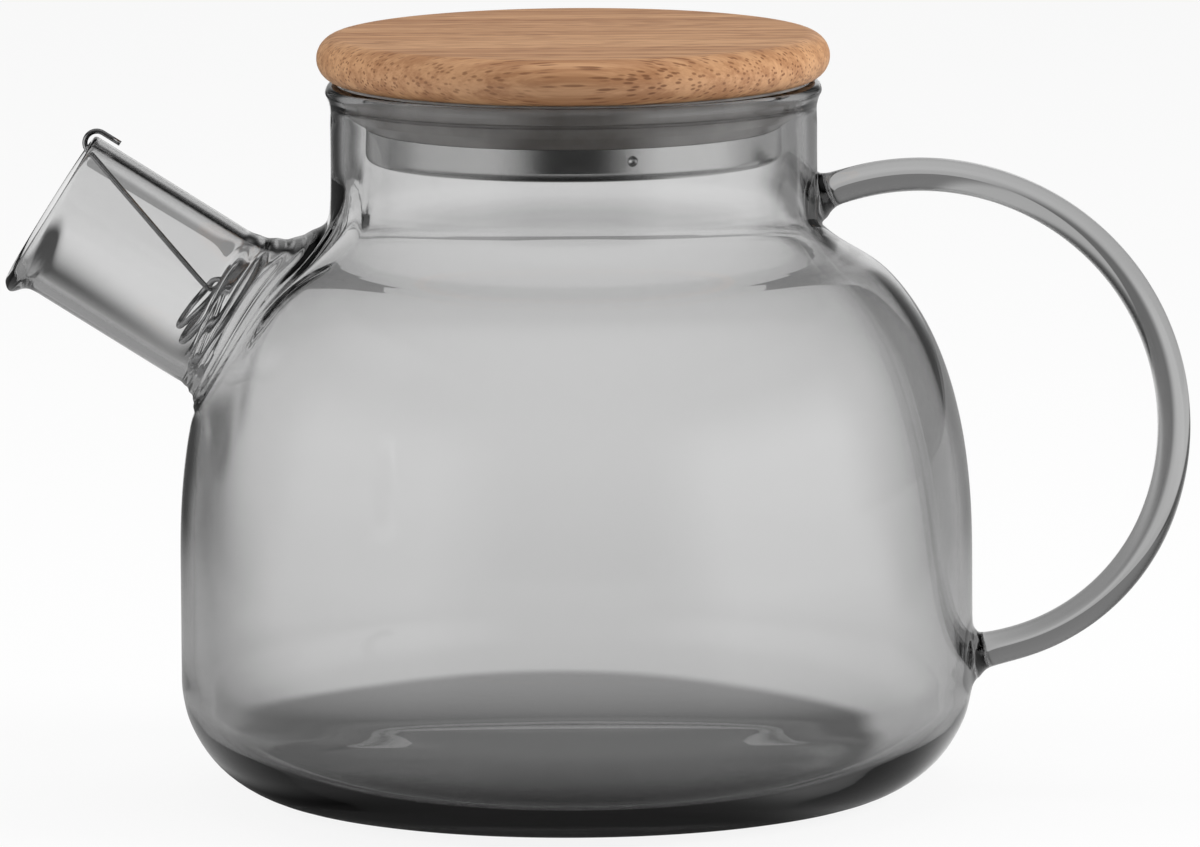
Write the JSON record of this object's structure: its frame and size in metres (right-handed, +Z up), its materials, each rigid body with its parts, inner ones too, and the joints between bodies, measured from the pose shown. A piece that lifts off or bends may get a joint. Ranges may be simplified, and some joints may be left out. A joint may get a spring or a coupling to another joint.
{
  "type": "glass teapot",
  "caption": "Round smoke-grey glass teapot with a straight angled spout, a loop handle, a flat bamboo lid with a sealed steel plug, and a wire coil filter in the spout.",
  "frame": {"origin": "centre of the flat underside of the base", "axes": "+Z up through the neck, -X towards the spout, +X towards the handle"},
  "size_m": [0.2, 0.1338, 0.1287],
  "materials": {
    "glass": "clear smoke-grey, fire polished",
    "bamboo": "sanded, oiled",
    "steel": "satin",
    "silicone": "translucent, matt",
    "wire": "drawn wire, bright"
  },
  "bodies": {
    "pot": {"glass_body": "glass", "glass_neck": "glass", "glass_spout": "glass", "glass_handle": "glass"},
    "seal": {"lid_seal": "silicone"},
    "lid": {"bamboo_lid": "bamboo", "lid_cup": "steel"},
    "filter": {"spout_filter": "wire"}
  },
  "joints": [
    {"name": "lid_lift", "type": "slide", "parent": "pot", "child": "seal", "axis": [0, 0, 1], "range_m": [0, 0.06]},
    {"name": "lid_turn", "type": "hinge", "parent": "seal", "child": "lid", "pos_m": [0, 0, 0.121], "axis": [0, 0, 1], "continuous": true},
    {"name": "filter_pull", "type": "slide", "parent": "pot", "child": "filter", "axis": [-0.8434, 0, 0.5373], "range_m": [0, 0.06]}
  ]
}
